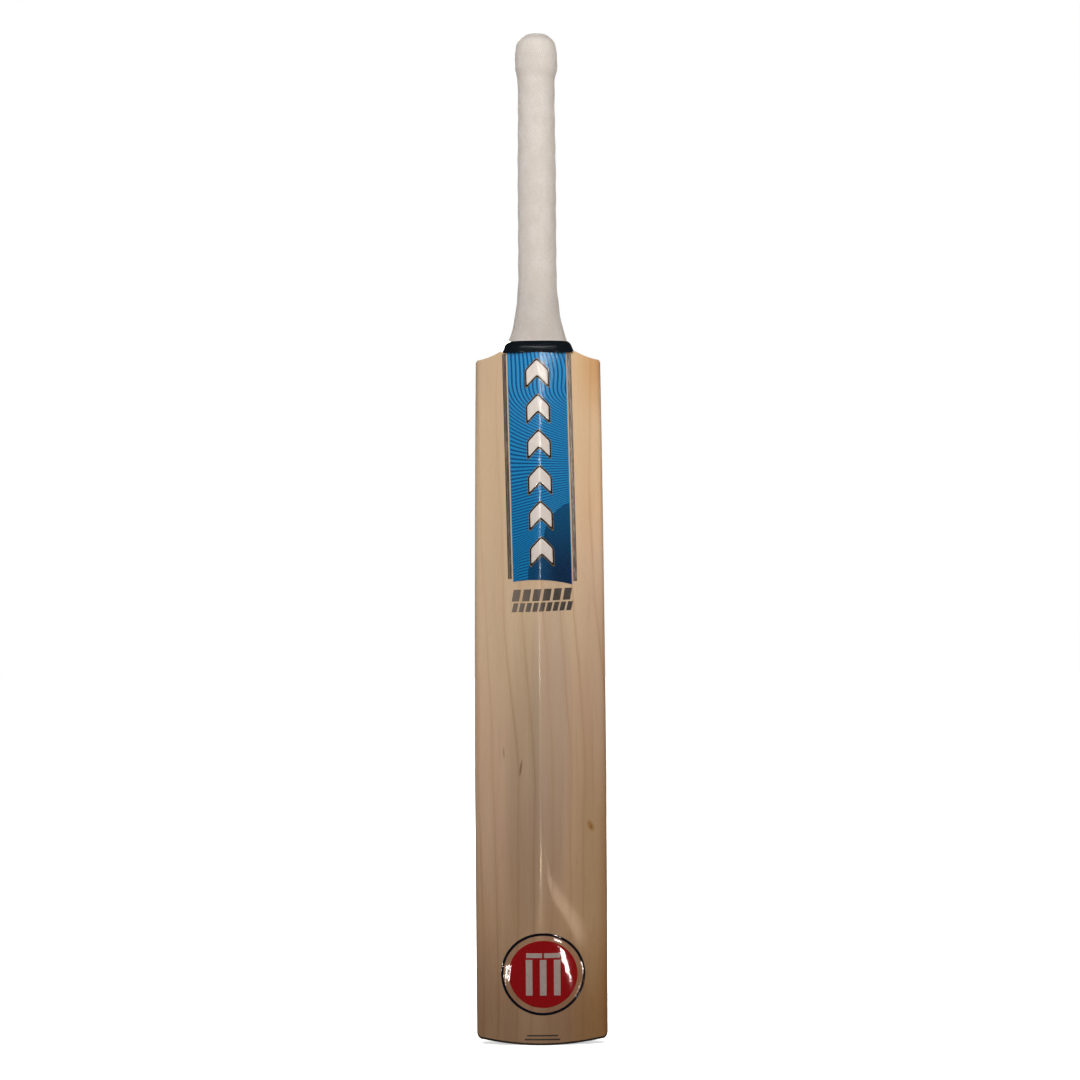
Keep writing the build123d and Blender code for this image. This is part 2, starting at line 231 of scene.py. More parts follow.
def willow():
    g = Graph("willow")
    point, x, y, height = g.place()

    # Growth rings that wander, with warm and pink drifts.
    slow = g.noise(g.stretched(point, (0.02, 0.02, 0.006)), 1.0)
    drift = g.remap(height, 470.0, 215.0, RING_BEND, 0.0)
    wander = g.math("MULTIPLY", g.math("SUBTRACT", slow, 0.5), 13.0)
    across = g.math("ADD", g.math("ADD", x, drift), wander)
    across = g.math("ADD", across, g.math("MULTIPLY", y, 0.06))
    uneven = g.noise(g.combine(g.math("MULTIPLY", across, 0.045), 3.7, 0.0), 1.0)
    rings = g.math("ADD", g.math("DIVIDE", across, RING_PITCH), g.math("MULTIPLY", uneven, 1.1))
    ring = g.math("FRACT", rings)

    cream = srgb(226, 199, 166)
    warm = srgb(219, 187, 152)
    base = g.ramp(
        ring,
        [
            (0.0, srgb(203, 169, 134)),
            (0.035, srgb(214, 184, 150)),
            (0.16, srgb(224, 196, 163)),
            (0.62, cream),
            (0.93, srgb(220, 191, 158)),
            (1.0, srgb(205, 171, 136)),
        ],
    )
    tint = g.noise(g.stretched(point, (0.045, 0.045, 0.005)), 2.0, 0.6)
    base = g.mix(g.remap(tint, 0.42, 0.66, 0.0, 0.55), base, warm)
    pink = g.noise(g.stretched(point, (0.03, 0.03, 0.011)), 1.0)
    base = g.mix(g.remap(pink, 0.45, 0.7, 0.0, 0.35), base, srgb(216, 183, 156))

    # Grain: broad bands, streaks, fibres and pores.
    broad_x = g.math("MULTIPLY", across, 0.05)
    broad = g.noise(g.combine(broad_x, 8.1, g.math("MULTIPLY", height, 0.002)), 1.0)
    base = g.mix(g.remap(broad, 0.44, 0.68, 0.0, 0.45), base, srgb(207, 180, 147))
    streaks = g.noise(g.stretched(point, (0.42, 0.42, 0.006)), 3.0, 0.6)
    base = g.mix(g.remap(streaks, 0.52, 0.74, 0.0, 0.32), base, srgb(196, 162, 124))
    fibres = g.noise(g.stretched(point, (2.6, 2.6, 0.035)), 2.0, 0.65)
    base = g.mix(g.remap(fibres, 0.35, 0.75, 0.0, 0.28), base, srgb(203, 172, 138))
    pores = g.noise(g.stretched(point, (5.5, 5.5, 0.22)), 1.0, 0.5)
    base = g.mix(g.remap(pores, 0.64, 0.74, 0.0, 0.25), base, srgb(170, 132, 95))

    # Darker heartwood along the lower right edge, and a warmer right shoulder.
    heart_line = g.math("ADD", x, g.math("MULTIPLY", g.math("SUBTRACT", slow, 0.5), 16.0))
    heart = g.remap(heart_line, 46.0, 54.0, 0.0, 0.3)
    heart = g.math("MULTIPLY", heart, g.remap(height, 430.0, 330.0))
    base = g.mix(heart, base, srgb(186, 134, 84))
    shoulder = g.math("MULTIPLY", g.remap(x, 27.0, 52.0, 0.0, 0.5), g.remap(height, 500.0, 560.0))
    base = g.mix(shoulder, base, srgb(205, 148, 92))

    on_back = g.remap(y, 8.0, 4.0)
    # Painted shade: each patch above darkens the back where it lies.
    for centre, half_size, tone in PAINTED_SHADES:
        shade = g.math("MULTIPLY", ellipse_mark(g, x, height, centre, half_size), on_back)
        base = g.mix(shade, base, g.mix(1.0, base, tone, "MULTIPLY"))
    for centre, half_size, lean, colour, strength in SMALL_MARKS:
        mark = g.math("MULTIPLY", ellipse_mark(g, x, height, centre, half_size, lean), on_back)
        base = g.mix(g.math("MULTIPLY", mark, strength), base, colour)

    # The whole blade's tone along its length, partly the willow's own and partly painted shade that
    # darkens it towards the toe, then painted light and shade on the right half.
    share = g.math("DIVIDE", height, TONE_LENGTH)
    base = g.mix(1.0, base, g.ramp(share, BLADE_TONE_AND_SHADE), "MULTIPLY")
    right_painted_light = g.ramp(share, RIGHT_PAINTED_LIGHT)
    base = g.mix(g.remap(x, 10.0, 46.0), base, g.mix(1.0, base, right_painted_light, "MULTIPLY"))

    relief = g.math("ADD", g.math("MULTIPLY", fibres, 0.6), g.math("MULTIPLY", pores, 0.4))
    return g.principled(
        Base_Color=base,
        Roughness=g.remap(fibres, 0.3, 0.8, 0.3, 0.44),
        Specular_IOR_Level=0.35,
        Coat_Weight=0.35,
        Coat_Roughness=0.11,
        Normal=g.bump(relief, 0.02, 0.7),
    )


def cane():
    g = Graph("cane")
    point, x, *_ = g.place()
    fibre = g.noise(g.stretched(point, (2.2, 2.2, 0.03)), 3.0, 0.6)
    colour = g.ramp(
        fibre,
        [
            (0.3, srgb(212, 176, 122)),
            (0.5, srgb(196, 158, 106)),
            (0.66, srgb(166, 124, 78)),
        ],
    )
    vessels = g.noise(g.stretched(point, (4.0, 4.0, 0.12)), 1.0)
    colour = g.mix(g.remap(vessels, 0.6, 0.7, 0.0, 0.5), colour, srgb(128, 90, 52))
    glue = g.math("ABSOLUTE", g.math("SUBTRACT", g.math("ABSOLUTE", x), STRIP_HALF_WIDTH))
    colour = g.mix(g.remap(glue, 0.5, 0.1, 0.0, 0.7), colour, srgb(120, 84, 50))
    return g.principled(
        Base_Color=colour,
        Roughness=g.remap(fibre, 0.3, 0.7, 0.34, 0.5),
        Normal=g.bump(fibre, 0.04, 0.6),
    )


# --- Rubber, twine and tape ---------------------------------------------------------------------
TWINE_PITCH = 0.9  # mm from one turn of the twine to the next


def spring_rubber():
    g = Graph("spring_rubber")
    point = g.place()[0]
    grain = g.noise(g.stretched(point, (1.5, 1.5, 1.5)), 4.0, 0.6)
    colour = g.ramp(grain, [(0.35, srgb(52, 40, 34)), (0.7, srgb(74, 60, 52))])
    return g.principled(Base_Color=colour, Roughness=0.7, Normal=g.bump(grain, 0.05))


def twine():
    g = Graph("twine")
    point, _, _, height = g.place()
    turn = g.math("FRACT", g.math("DIVIDE", height, TWINE_PITCH))
    crest = g.math("SINE", g.math("MULTIPLY", turn, math.pi))
    fray = g.noise(g.stretched(point, (3.0, 3.0, 8.0)), 3.0)
    colour = g.mix(g.math("MULTIPLY", crest, fray), srgb(120, 96, 66), srgb(206, 184, 146))
    return g.principled(Base_Color=colour, Roughness=0.75, Normal=g.bump(crest, 0.3))


def grip_rubber():
    g = Graph("grip_rubber")
    point, _, _, height = g.place()
    rib = g.add("ShaderNodeAttribute", {"attribute_name": "rib"}).outputs["Fac"]
    cloud = g.noise(g.stretched(point, (0.09, 0.09, 0.06)), 3.0, 0.6)
    colour = g.mix(g.remap(cloud, 0.35, 0.65), srgb(217, 211, 207), srgb(210, 203, 197))
    dust = g.noise(g.stretched(point, (0.7, 0.7, 0.7)), 3.0, 0.65)
    # Darker in the rib valleys, more in some patches than others.
    valley = g.math("SUBTRACT", 1.0, rib)
    valley_darkening = g.math("MULTIPLY", valley, g.remap(dust, 0.3, 0.7, 0.25, 0.75))
    colour = g.mix(valley_darkening, colour, srgb(174, 162, 152))
    # Slightly darker towards the grip's foot.
    foot_darkening = g.remap(height, 640.0, 590.0)
    colour = g.mix(foot_darkening, colour, srgb(240, 240, 240), "MULTIPLY")
    fine = g.noise(g.stretched(point, (6.0, 6.0, 6.0)), 2.0)
    return g.principled(
        Base_Color=colour,
        Roughness=g.remap(dust, 0.3, 0.7, 0.42, 0.56),
        Specular_IOR_Level=0.4,
        Subsurface_Weight=0.06,
        Subsurface_Radius=(0.6, 0.4, 0.3),
        Subsurface_Scale=0.002,
        Normal=g.bump(fine, 0.015, 0.6),
    )


def band_tape():
    g = Graph("band_tape")
    point = g.place()[0]
    waves = g.noise(g.stretched(point, (0.12, 0.12, 0.5)), 2.0, 0.5)
    scuffs = g.noise(g.stretched(point, (0.8, 0.8, 3.0)), 3.0, 0.7)
    colour = g.mix(g.remap(scuffs, 0.45, 0.8), srgb(12, 18, 24), srgb(26, 34, 42))
    return g.principled(
        Base_Color=colour,
        Roughness=g.remap(scuffs, 0.3, 0.8, 0.12, 0.3),
        Specular_IOR_Level=0.6,
        Coat_Weight=0.6,
        Coat_Roughness=0.08,
        Normal=g.bump(waves, 0.5, 0.5),
    )


def guard_rubber():
    g = Graph("guard_rubber")
    point = g.place()[0]
    grain = g.noise(g.stretched(point, (1.2, 1.2, 1.2)), 4.0, 0.7)
    colour = g.ramp(grain, [(0.35, srgb(18, 11, 10)), (0.7, srgb(36, 22, 18))])
    return g.principled(
        Base_Color=colour,
        Roughness=g.remap(grain, 0.3, 0.7, 0.4, 0.62),
        Normal=g.bump(grain, 0.08),
    )


# --- Label, badge and print ---------------------------------------------------------------------
LABEL_CENTRE = (0.7, 474.9)
LABEL_ANGLE = math.radians(1.2)
UPRIGHT_LINES = 0.29  # lines for each mm across the label's top, where they stand upright
RISING_LINES = -0.10  # the same at its foot, where they rise to the right
LEVEL_LINES = -0.42  # lines for each mm down the label below its upright lines
TURN_SPAN = (-30.0, 60.0)  # where the lines turn from rising to upright, from the label's centre
LEVEL_FROM = 55.0  # the height on the label below which the level lines are counted
LEVEL_BLEND = 20.0  # how softly their count sets in
BOW_CENTRE = 77.0  # the height on the label about which the upright lines bow
BOW_SPAN = (45.0, 70.0)  # the heights over which the bow sets in
BOW = -0.004  # lines for each square millimetre from that height, at the label's right edge
LABEL_WIDTH = 48.0
POOL = ((33.5, -60.0), (31.9, 31.5))  # centre on the label, and the radii of its soft edge
SIDE_POOL = ((11.5, -88.0), (23.5, 23.1))
STRIPE_PLACE = 26.7  # from the label's middle line to the middle of a stripe


def label_place(g, x, height):
    """Where a point lies on the label, from its centre and along its own edges."""
    across = g.math("SUBTRACT", x, LABEL_CENTRE[0])
    along = g.math("SUBTRACT", height, LABEL_CENTRE[1])
    turned_x = g.math("MULTIPLY_ADD", along, math.sin(LABEL_ANGLE), across)
    turned_z = g.math("MULTIPLY_ADD", across, -math.sin(LABEL_ANGLE), along)
    return turned_x, turned_z


def distance_to(g, x, z, centre):
    """How far a point of the label is from a centre on it, in millimetres."""
    dx = g.math("SUBTRACT", x, centre[0])
    dz = g.math("SUBTRACT", z, centre[1])
    return g.math("SQRT", g.math("ADD", g.math("POWER", dx, 2.0), g.math("POWER", dz, 2.0)))


def label_flow(g, u, v):
    """A count of lines over the label: upright at its top, falling and then rising below."""
    across = g.math("MULTIPLY", g.remap(v, *TURN_SPAN, RISING_LINES, UPRIGHT_LINES), -1.0)
    below = g.math("SMOOTH_MIN", g.math("SUBTRACT", v, LEVEL_FROM), 0.0, LEVEL_BLEND)
    flow = g.math("MULTIPLY_ADD", below, LEVEL_LINES, g.math("MULTIPLY", u, across))
    bow = g.math("POWER", g.math("SUBTRACT", v, BOW_CENTRE), 2.0)
    bow = g.math("MULTIPLY", bow, g.math("MULTIPLY_ADD", u, 1 / LABEL_WIDTH, 0.5))
    bow = g.math("MULTIPLY", bow, g.remap(v, *BOW_SPAN))
    return g.math("MULTIPLY_ADD", bow, BOW, flow)


def film_ripple(g, point):
    """The slight unevenness of a film laid over wood, from 0 to 1."""
    long_waves = g.noise(g.stretched(point, (0.25, 0.25, 0.07)), 2.0)
    short_waves = g.noise(g.stretched(point, (0.9, 0.9, 0.45)), 2.0)
    return g.math("ADD", g.math("MULTIPLY", long_waves, 0.7), g.math("MULTIPLY", short_waves, 0.3))


def label_vinyl():
    g = Graph("label_vinyl")
    point, x, _, height = g.place()
    u, v = label_place(g, x, height)
    pool = distance_to(g, u, v, POOL[0])
    side_pool = distance_to(g, u, v, SIDE_POOL[0])
    bulge = g.math("MULTIPLY", g.remap(g.math("MINIMUM", pool, side_pool), 44.0, 30.0), 3.0)
    flow = g.math("ADD", label_flow(g, u, v), bulge)
    wave = g.math("PINGPONG", flow, 0.5)
    line = g.remap(wave, 0.16, 0.25, 1.0, 0.0)
    blue = g.mix(g.remap(v, 95.0, -95.0), srgb(40, 143, 205), srgb(28, 130, 190))
    colour = g.mix(g.math("MULTIPLY", line, 0.9), blue, srgb(8, 68, 118))
    deep = g.mix(g.remap(v, -34.0, -90.0), srgb(10, 76, 118), srgb(14, 46, 80))
    shade = g.mix(g.math("MULTIPLY", line, 0.6), srgb(18, 74, 116), srgb(12, 60, 98))
    shade = g.mix(g.remap(u, -2.0, 12.0), shade, deep)
    colour = g.mix(g.remap(side_pool, *SIDE_POOL[1]), colour, shade)
    colour = g.mix(g.remap(pool, *POOL[1]), colour, deep)
    edge = g.math("ABSOLUTE", u)
    colour = g.mix(g.remap(edge, 23.5, 23.9), colour, srgb(44, 140, 190))
    ripple = film_ripple(g, point)
    speck = g.noise(g.stretched(point, (3.0, 3.0, 3.0)), 2.0)
    return g.principled(
        Base_Color=colour,
        Roughness=g.remap(speck, 0.3, 0.7, 0.24, 0.34),
        Coat_Weight=0.9,
        Coat_Roughness=0.06,
        Normal=g.bump(ripple, 0.55, 0.45),
        Coat_Normal=g.bump(ripple, 0.9, 0.6),
    )


def silver_vinyl():
    g = Graph("silver_vinyl")
    point, x, _, height = g.place()
    ripple = film_ripple(g, point)
    tarnish = g.noise(g.stretched(point, (0.8, 0.8, 0.05)), 3.0, 0.6)
    colour = g.mix(g.remap(tarnish, 0.35, 0.7), srgb(112, 100, 90), srgb(150, 138, 126))
    u = label_place(g, x, height)[0]
    middle = g.math("SUBTRACT", g.math("ABSOLUTE", u), STRIPE_PLACE)
    rim = g.remap(g.math("ABSOLUTE", middle), 0.9, 1.3)
    colour = g.mix(rim, colour, srgb(84, 74, 62))
    return g.principled(
        Base_Color=colour,
        Metallic=0.35,
        Roughness=g.remap(tarnish, 0.3, 0.7, 0.16, 0.3),
        Coat_Weight=0.8,
        Coat_Roughness=0.05,
        Normal=g.bump(ripple, 1.0, 0.7),
    )


def raised_ink(name, light, dark, metallic=0.0, ripple_depth=0.5):
    """A gloss print on the label, with faint clouding and the film's ripple."""
    g = Graph(name)
    point = g.place()[0]
    cloud = g.noise(g.stretched(point, (0.5, 0.5, 0.3)), 3.0, 0.6)
    ripple = film_ripple(g, point)
    return g.principled(
        Base_Color=g.mix(g.remap(cloud, 0.3, 0.7), light, dark),
        Metallic=metallic,
        Roughness=g.remap(cloud, 0.3, 0.7, 0.2, 0.34),
        Coat_Weight=0.8,
        Coat_Roughness=0.07,
        Normal=g.bump(ripple, ripple_depth, 0.7),
        Coat_Normal=g.bump(ripple, ripple_depth * 1.8, 0.8),
    )


def print_ink():
    g = Graph("print_ink")
    point, x, _, height = g.place()
    wear = g.noise(g.stretched(point, (1.8, 1.8, 0.25)), 3.0, 0.7)
    ink = g.mix(g.remap(x, -26.0, 14.0), srgb(128, 116, 106), srgb(74, 68, 64))
    ink = g.mix(g.remap(height, 60.0, 40.0), ink, srgb(44, 34, 28))
    colour = g.mix(g.remap(wear, 0.5, 0.78, 0.0, 0.4), ink, srgb(168, 144, 118))
    return g.principled(
        Base_Color=colour,
        Roughness=g.remap(wear, 0.3, 0.7, 0.34, 0.48),
        Normal=g.bump(wear, 0.02),
    )


def badge_print(name, light, dark):
    """A flat print that lies under the badge's resin."""
    g = Graph(name)
    point = g.place()[0]
    cloud = g.noise(g.stretched(point, (0.35, 0.35, 0.35)), 3.0, 0.6)
    return g.principled(
        Base_Color=g.mix(g.remap(cloud, 0.3, 0.7), light, dark),
        Roughness=0.45,
        Specular_IOR_Level=0.3,
        Normal=g.bump(cloud, 0.02),
    )


def badge_resin():
    """Clear cast resin: it passes light straight through and only adds its own gloss."""
    g = Graph("badge_resin")
    point = g.place()[0]
    ripple = g.noise(g.stretched(point, (0.09, 0.09, 0.09)), 1.0)
    bumps = g.bump(ripple, 0.25, 0.35)
    clear = g.add("ShaderNodeBsdfTransparent", None, Color=(0.97, 0.93, 0.93, 1.0))
    gloss = g.add("ShaderNodeBsdfGlossy", None, Color=(1.0, 1.0, 1.0, 1.0), Normal=bumps)
    g.put(gloss.inputs["Roughness"], g.remap(ripple, 0.3, 0.7, 0.03, 0.07))
    edge_on = g.add("ShaderNodeLayerWeight", None, Blend=0.5, Normal=bumps).outputs["Facing"]
    share = g.math("MULTIPLY_ADD", g.math("POWER", edge_on, 5.0), 0.9, 0.04)
    blend = g.add("ShaderNodeMixShader", None)
    g.put(blend.inputs[0], share)
    g.put(blend.inputs[1], clear.outputs[0])
    g.put(blend.inputs[2], gloss.outputs[0])
    g.tree.links.new(blend.outputs[0], g.output.inputs["Surface"])
    return g.material


MATERIALS = {
    "willow": willow(),
    "cane": cane(),
    "spring_rubber": spring_rubber(),
    "twine": twine(),
    "grip_rubber": grip_rubber(),
    "band_tape": band_tape(),
    "guard_rubber": guard_rubber(),
    "label_vinyl": label_vinyl(),
    "silver_vinyl": silver_vinyl(),
    "emblem_vinyl": raised_ink("emblem_vinyl", srgb(232, 224, 218), srgb(220, 208, 200)),
    "emblem_edge": raised_ink("emblem_edge", srgb(34, 24, 20), srgb(22, 18, 18)),
    "emblem_keyline": raised_ink("emblem_keyline", srgb(176, 148, 104), srgb(148, 120, 80), 0.4),
    "print_ink": print_ink(),
    "badge_navy": badge_print("badge_navy", srgb(16, 24, 38), srgb(10, 16, 26)),
    "badge_red": badge_print("badge_red", srgb(196, 28, 33), srgb(184, 24, 29)),
    "badge_silver": badge_print("badge_silver", srgb(226, 214, 208), srgb(214, 202, 194)),
    "badge_resin": badge_resin(),
}


def dress_frame():
    """Gives every CAD node that stays visible the material of its slot."""
    for part in frame["record"]["subparts"]:
        mesh = nodes[part["node"]].data
        mesh.materials.clear()
        mesh.materials.append(MATERIALS[part["material_slot"]])


# --- Meshes -------------------------------------------------------------------------------------
RAY_START = 0.2  # metres from the handle's axis, behind the bat's back


def surface_of(*names):
    """A ray target made of CAD nodes."""
    verts, faces = [], []
    for name in names:
        mesh = nodes[name].data
        start = len(verts)
        verts.extend(v.co.copy() for v in mesh.vertices)
        faces.extend([start + i for i in polygon.vertices] for polygon in mesh.polygons)
    return BVHTree.FromPolygons(verts, faces)


def piece(name, verts, faces, material, replaced=(), smooth_angle=40.0):
    """A mesh object that rides on the bat and stands for the given CAD nodes."""
    mesh = bpy.data.meshes.new(name)
    mesh.from_pydata([tuple(v) for v in verts], [], faces)
    mesh.validate()
    mesh.materials.append(MATERIALS[material])
    made = bpy.data.objects.new(name, mesh)
    bpy.context.scene.collection.objects.link(made)
    mesh.set_sharp_from_angle(angle=math.radians(smooth_angle))
    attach(made, "root")
    if replaced:
        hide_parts(*replaced)
    return made


def ring_faces(rows, columns):
    """Quads between closed rings of vertices, each ring after the one before."""
    faces = []
    for row in range(rows - 1):
        for column in range(columns):
            after = (column + 1) % columns
            low, high = row * columns, (row + 1) * columns
            faces.append((low + column, low + after, high + after, high + column))
    return faces


# --- Grip ---------------------------------------------------------------------------------------
GRIP_FOOT = 578.4
GRIP_TOP = 831.8
RIB_COUNT = 62  # ribs round the grip
RIB_STEPS = 5  # mesh columns for each rib
ROW_STEP = 0.9  # mm between mesh rows up the grip
FOOT_ROWS = 3  # rows over which the relief grows from the foot
NUDGE = 0.02  # mm above the foot, so that a ray there meets the sleeve's side
SLEEVE_RAY = 0.1  # metres out from the handle's axis, where the rays at the sleeve start
BAND_ROWS = 12  # mesh rows between two turns of the herringbone
STEM_RADIUS = 15.7
RIB_DEPTH = 0.26
RIB_LEVEL = 0.6  # share of a rib's height that lies below the plain sleeve
WAVE_DEPTH = 0.16  # how far the sleeve swells in a slow spiral, one turn to two bands of ribs
DOME_FROM = 812.0
DOME_ROWS = 30
DOME_TILT = math.radians(69.0)  # how far up the last row of the dome looks
DOME_FADE = 0.8  # the power by which the relief dies away over the dome
DOME_TWIST = 0.35  # how much of their lean the ribs keep on the dome
HOLE_RADIUS = 6.5
HANDLE_END = 827.5
INSIDE_RIB = 0.9  # the rib value inside the sleeve, which is darkened only a little
BORE = [  # radius and height of the inside of the sleeve, from its end hole down to where it flares
    (HOLE_RADIUS + 0.6, GRIP_TOP - 0.15),
    (HOLE_RADIUS, GRIP_TOP - 0.6),
    (HOLE_RADIUS, HANDLE_END),
    (9.8, HANDLE_END),
    (14.3, 823.0),
    (14.3, 804.8),
    (13.05, 793.2),
    (13.0, 756.0),
    (13.4, 728.0),
    (13.45, 691.0),
    (13.6, 634.0),
]
FLARE_HEIGHTS = (619.9, 608.0, 597.1, 588.2, 582.0, GRIP_FOOT + NUDGE)


def build_grip():
    """The rubber sleeve: herringbone ribs over the CAD grip's own outside, dome and end hole."""
    target = surface_of("grip")
    columns = RIB_COUNT * RIB_STEPS
    body_rows = int((DOME_FROM - GRIP_FOOT) / ROW_STEP) + 1
    lean = ROW_STEP / STEM_RADIUS  # radians that a 45 degree rib moves round in one row
    verts, heights = [], []
    twist = 0.0
    for row in range(body_rows + DOME_ROWS):
        on_dome = row >= body_rows
        if row:
            rising = (row // BAND_ROWS) % 2 == 0
            twist += (lean if rising else -lean) * (DOME_TWIST if on_dome else 1.0)
        if on_dome:
            share = (row - body_rows + 1) / DOME_ROWS
            centre_z, tilt = DOME_FROM, share * DOME_TILT
        else:
            share, centre_z, tilt = 0.0, GRIP_FOOT + row * ROW_STEP, 0.0
        fade = min(1.0, (row + 1) / FOOT_ROWS) * (1 - share) ** DOME_FADE
        for column in range(columns):
            angle = 2 * math.pi * column / columns + twist
            level = math.cos(tilt)
            out = Vector((math.cos(angle) * level, math.sin(angle) * level, math.sin(tilt)))
            start = Vector((0, 0, up(centre_z) + (NUDGE * MM if row == 0 else 0)))
            hit = target.ray_cast(start + out * SLEEVE_RAY, -out)[0]
            rib = 0.5 - 0.5 * math.cos(2 * math.pi * column / RIB_STEPS)
            swell = math.sin(angle + 2 * math.pi * centre_z / (2 * BAND_ROWS * ROW_STEP))
            relief = (rib - RIB_LEVEL) * RIB_DEPTH + swell * WAVE_DEPTH
            verts.append(hit + out * (relief * fade * MM))
            heights.append(1 - (1 - rib) * fade)
    for radius, height in BORE:
        for column in range(columns):
            angle = 2 * math.pi * column / columns + twist
            verts.append((radius * MM * math.cos(angle), radius * MM * math.sin(angle), up(height)))
            heights.append(INSIDE_RIB)
    inside = surface_of("twine_binding")
    for height in FLARE_HEIGHTS:
        for column in range(columns):
            angle = 2 * math.pi * column / columns + twist
            out = Vector((math.cos(angle), math.sin(angle), 0))
            hit = inside.ray_cast(Vector((0, 0, up(height))) + out * SLEEVE_RAY, -out)[0]
            verts.append(hit)
            heights.append(INSIDE_RIB)
    rows = len(verts) // columns
    faces = ring_faces(rows, columns)
    last = (rows - 1) * columns
    faces += [((c + 1) % columns, c, last + c, last + (c + 1) % columns) for c in range(columns)]
    made = piece("grip_sleeve", verts, faces, "grip_rubber", ("grip",), 75.0)
    layer = made.data.attributes.new("rib", "FLOAT", "POINT")
    layer.data.foreach_set("value", heights)
    return made


# --- Emblems ------------------------------------------------------------------------------------
EMBLEM_COUNT = 6
EMBLEM_PITCH = 29.2
EMBLEM_FIRST = 77.0
EMBLEM_HALF = (8.7, 10.7)
EMBLEM_ARM = 8.2
EMBLEM_CORNER = 1.3
EMBLEM_SINK = 0.08  # how far a chevron's underside lies below the label's surface
EMBLEM_MESH = (44, 18)  # faces across and along one chevron
PEAK_ROUNDING = 0.9  # what rounding takes off the peak, as a distance along the slope's run
PEAK_LIFT = 0.5  # how much of that both edges are raised by again
ARM_SLANT = 0.62  # times a height from a sloping edge: a little less than its distance square to it


def chevron_edges(x, grow):
    """The lower and upper edge of a chevron at a place across it, about its own centre."""
    half, tall = EMBLEM_HALF
    rise = 2 * tall - 1.5 * EMBLEM_ARM
    slope = rise / half
    side = grow * math.hypot(1, slope)
    bend = math.hypot(x, PEAK_ROUNDING) - PEAK_LIFT
    upper = tall - slope * bend + side
    lower = -tall + rise - slope * bend - side
    corner = EMBLEM_CORNER + max(grow, 0) * 0.5
    inward = abs(x) - (half + grow - corner)
    if inward > 0:
        cut = corner - math.sqrt(max(corner**2 - inward**2, 0))
        upper, lower = upper - cut, lower + cut
    return lower, upper


def chevron_shell(target, centre_z, grow, base, top, bevel):
    """A closed chevron on the label: (verts, faces) with its top domed down to its edge."""
    across, along = EMBLEM_MESH
    half = EMBLEM_HALF[0] + grow
    levels = []
    for is_top in (False, True):
        points = []
        for i in range(across + 1):
            x = -half * math.cos(math.pi * i / across)
            lower, upper = chevron_edges(x, grow)
            for j in range(along + 1):
                share = 0.5 - 0.5 * math.cos(math.pi * j / along)
                z = lower + share * (upper - lower)
                nearest = min(half - abs(x), (upper - z) * ARM_SLANT, (z - lower) * ARM_SLANT)
                round_off = min(1.0, max(nearest, 0) / bevel) if bevel else 1.0
                height = base + (top - base) * math.sqrt(1 - (1 - round_off) ** 2)
                lift = height if is_top else -EMBLEM_SINK
                points.append(on_label(target, x, centre_z + z, lift))
        levels.append(points)
    count = len(levels[0])
    verts = levels[0] + levels[1]
    faces = []
    stride = along + 1
    for i in range(across):
        for j in range(along):
            a, b = i * stride + j, (i + 1) * stride + j
            faces.append((a, a + 1, b + 1, b))
            faces.append((count + a, count + b, count + b + 1, count + a + 1))
    border = list(range(along + 1))
    border += [i * stride + along for i in range(1, across + 1)]
    border += [across * stride + j for j in range(along - 1, -1, -1)]
    border += [i * stride for i in range(across - 1, 0, -1)]
    for a, b in zip(border, border[1:] + border[:1]):
        faces.append((a, count + a, count + b, b))
    return verts, faces


def on_label(target, u, v, lift):
    """A point of the label's own plane, laid on its surface and lifted off it, in metres."""
    x = LABEL_CENTRE[0] + u * math.cos(LABEL_ANGLE) - v * math.sin(LABEL_ANGLE)
    z = LABEL_CENTRE[1] + u * math.sin(LABEL_ANGLE) + v * math.cos(LABEL_ANGLE)
    start = Vector((x * MM, -RAY_START, up(z)))
    hit = target.ray_cast(start, Vector((0, 1, 0)))[0]
    return hit + Vector((0, -lift * MM, 0))


def build_emblems():
    """Six raised chevrons, each a pale face on a dark edge on a thin gilt line."""
    target = surface_of("label_panel")
    made = []
    layers = (  # name, material, growth past the face, height of foot and top, width of bevel
        ("emblem_keylines", "emblem_keyline", 1.35, 0.0, 0.07, 0.0),
        ("emblem_edges", "emblem_edge", 1.0, 0.0, 0.16, 0.25),
        ("emblem_faces", "emblem_vinyl", 0.0, 0.16, 0.62, 1.1),
    )
    for name, material, grow, base, top, bevel in layers:
        verts, faces = [], []
        for i in range(EMBLEM_COUNT):
            centre = EMBLEM_FIRST - i * EMBLEM_PITCH
            shell, quads = chevron_shell(target, centre, grow, base, top, bevel)
            faces += [tuple(k + len(verts) for k in quad) for quad in quads]
            verts += shell
        replaced = ("label_emblems",) if name == "emblem_faces" else ()
        made.append(piece(name, verts, faces, material, replaced, 35.0))
    return made


# --- Badge dome ---------------------------------------------------------------------------------
BADGE_CENTRE = (0.9, 59.9)
BADGE_RADIUS = 34.6
DOME_HEIGHT = 1.5
DOME_CROWN = 0.35  # how much of that height the nearly flat top rises by
DOME_EDGE = 3.4  # how far in from its rim the resin is rounded down
DOME_RIM = 0.25  # height of its rim over the blade
DOME_FOOT = 0.24  # height of its underside over the blade, clear of the print


